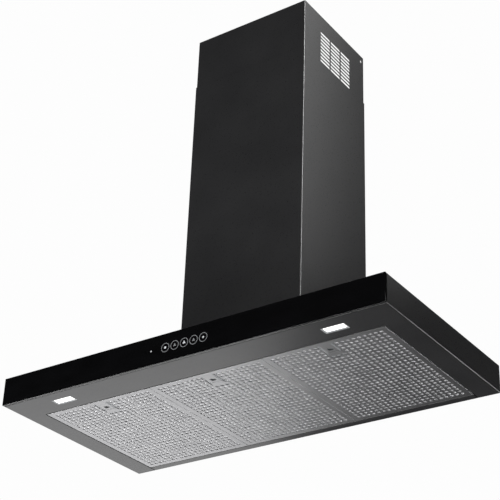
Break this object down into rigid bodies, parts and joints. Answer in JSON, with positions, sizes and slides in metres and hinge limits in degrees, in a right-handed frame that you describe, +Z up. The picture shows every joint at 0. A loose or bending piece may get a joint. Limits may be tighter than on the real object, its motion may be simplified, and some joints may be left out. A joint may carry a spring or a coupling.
{
  "type": "chimney range hood",
  "caption": "Wall-mounted kitchen hood: flat canopy with a black glass front, touch controls, lamps, drop-down grease filters and a telescoping chimney.",
  "frame": {"origin": "middle of the canopy's back wall at its bottom edge, on the wall plane", "axes": "+X to the viewer's right facing the hood, +Y into the wall, +Z up"},
  "size_m": [0.898, 0.45, 0.93],
  "materials": {
    "black_paint": "satin black stove enamel on steel sheet",
    "black_glass": "polished black back-painted tempered glass",
    "filter_steel": "satin stainless perforated sheet",
    "mesh_aluminium": "expanded aluminium mesh",
    "zinc_steel": "zinc-plated sheet",
    "black_plastic": "moulded, fine grain",
    "grey_plastic": "moulded, fine grain",
    "white_plastic": "moulded",
    "lamp_lens": "frosted, lit",
    "indicator_lens": "clear, lit",
    "rubber": "matt",
    "screw_steel": "zinc plated",
    "circuit_board": "solder resist",
    "motor_paint": "grey enamel"
  },
  "bodies": {
    "canopy": {"canopy_shell": "black_paint", "underside_panel": "black_paint", "rear_rail": "black_paint", "front_glass": "black_glass", "glass_tape": "rubber", "control_board": "circuit_board", "control_board_holder": "black_plastic", "indicator_led": "indicator_lens", "lamp_left_housing": "grey_plastic", "lamp_right_housing": "grey_plastic", "lamp_left_lens": "lamp_lens", "lamp_right_lens": "lamp_lens", "lamp_clips": "zinc_steel", "lamp_driver": "white_plastic", "panel_screws": "screw_steel", "hanger_plates": "zinc_steel", "air_box": "zinc_steel", "canopy_top_screws": "screw_steel", "scroll_left_half": "black_plastic", "scroll_right_half": "black_plastic", "scroll_screws": "screw_steel", "inlet_grille": "black_plastic", "motor_plate": "zinc_steel", "motor_bushes": "rubber", "motor_can": "motor_paint", "capacitor": "white_plastic", "exhaust_collar": "black_plastic", "collar_screws": "screw_steel", "damper_rods": "screw_steel", "control_box": "grey_plastic", "control_box_lid": "grey_plastic", "power_board": "circuit_board", "terminal_block": "white_plastic", "cable_gland": "black_plastic", "lower_cover": "black_paint"},
    "upper_chimney": {"upper_cover": "black_paint"},
    "blower_wheel": {"wheel_back_plate": "zinc_steel", "wheel_blades": "zinc_steel", "wheel_end_ring": "zinc_steel", "motor_shaft": "screw_steel"},
    "front_flap": {"damper_front": "black_plastic"},
    "rear_flap": {"damper_rear": "black_plastic"},
    "filter_left": {"filter_left_tray": "filter_steel", "filter_left_mesh": "mesh_aluminium", "filter_left_back": "filter_steel", "filter_left_latch_pocket": "grey_plastic", "filter_left_latch_spring": "screw_steel"},
    "latch_left": {"filter_left_latch": "filter_steel"},
    "filter_middle": {"filter_middle_tray": "filter_steel", "filter_middle_mesh": "mesh_aluminium", "filter_middle_back": "filter_steel", "filter_middle_latch_pocket": "grey_plastic", "filter_middle_latch_spring": "screw_steel"},
    "latch_middle": {"filter_middle_latch": "filter_steel"},
    "filter_right": {"filter_right_tray": "filter_steel", "filter_right_mesh": "mesh_aluminium", "filter_right_back": "filter_steel", "filter_right_latch_pocket": "grey_plastic", "filter_right_latch_spring": "screw_steel"},
    "latch_right": {"filter_right_latch": "filter_steel"}
  },
  "joints": [
    {"name": "chimney_slide", "type": "slide", "parent": "canopy", "child": "upper_chimney", "axis": [0, 0, 1], "range_m": [-0.12, 0.25]},
    {"name": "wheel_spin", "type": "hinge", "parent": "canopy", "child": "blower_wheel", "pos_m": [0, -0.147, 0.162], "axis": [1, 0, 0], "continuous": true},
    {"name": "front_flap_hinge", "type": "hinge", "parent": "canopy", "child": "front_flap", "pos_m": [0, -0.105, 0.346], "axis": [-1, 0, 0], "range_deg": [0, 78]},
    {"name": "rear_flap_hinge", "type": "hinge", "parent": "canopy", "child": "rear_flap", "pos_m": [0, -0.095, 0.346], "axis": [1, 0, 0], "range_deg": [0, 78]},
    {"name": "filter_left_hinge", "type": "hinge", "parent": "canopy", "child": "filter_left", "pos_m": [-0.26667, -0.0176, 0.0012], "axis": [1, 0, 0], "range_deg": [0, 75]},
    {"name": "filter_middle_hinge", "type": "hinge", "parent": "canopy", "child": "filter_middle", "pos_m": [0, -0.0176, 0.0012], "axis": [1, 0, 0], "range_deg": [0, 75]},
    {"name": "filter_right_hinge", "type": "hinge", "parent": "canopy", "child": "filter_right", "pos_m": [0.26667, -0.0176, 0.0012], "axis": [1, 0, 0], "range_deg": [0, 75]},
    {"name": "latch_left_slide", "type": "slide", "parent": "filter_left", "child": "latch_left", "axis": [0, 1, 0], "range_m": [0, 0.006], "stiffness_N_per_m": 300, "springref_m": -0.005, "deforming": ["filter_left_latch_spring"]},
    {"name": "latch_middle_slide", "type": "slide", "parent": "filter_middle", "child": "latch_middle", "axis": [0, 1, 0], "range_m": [0, 0.006], "stiffness_N_per_m": 300, "springref_m": -0.005, "deforming": ["filter_middle_latch_spring"]},
    {"name": "latch_right_slide", "type": "slide", "parent": "filter_right", "child": "latch_right", "axis": [0, 1, 0], "range_m": [0, 0.006], "stiffness_N_per_m": 300, "springref_m": -0.005, "deforming": ["filter_right_latch_spring"]}
  ]
}
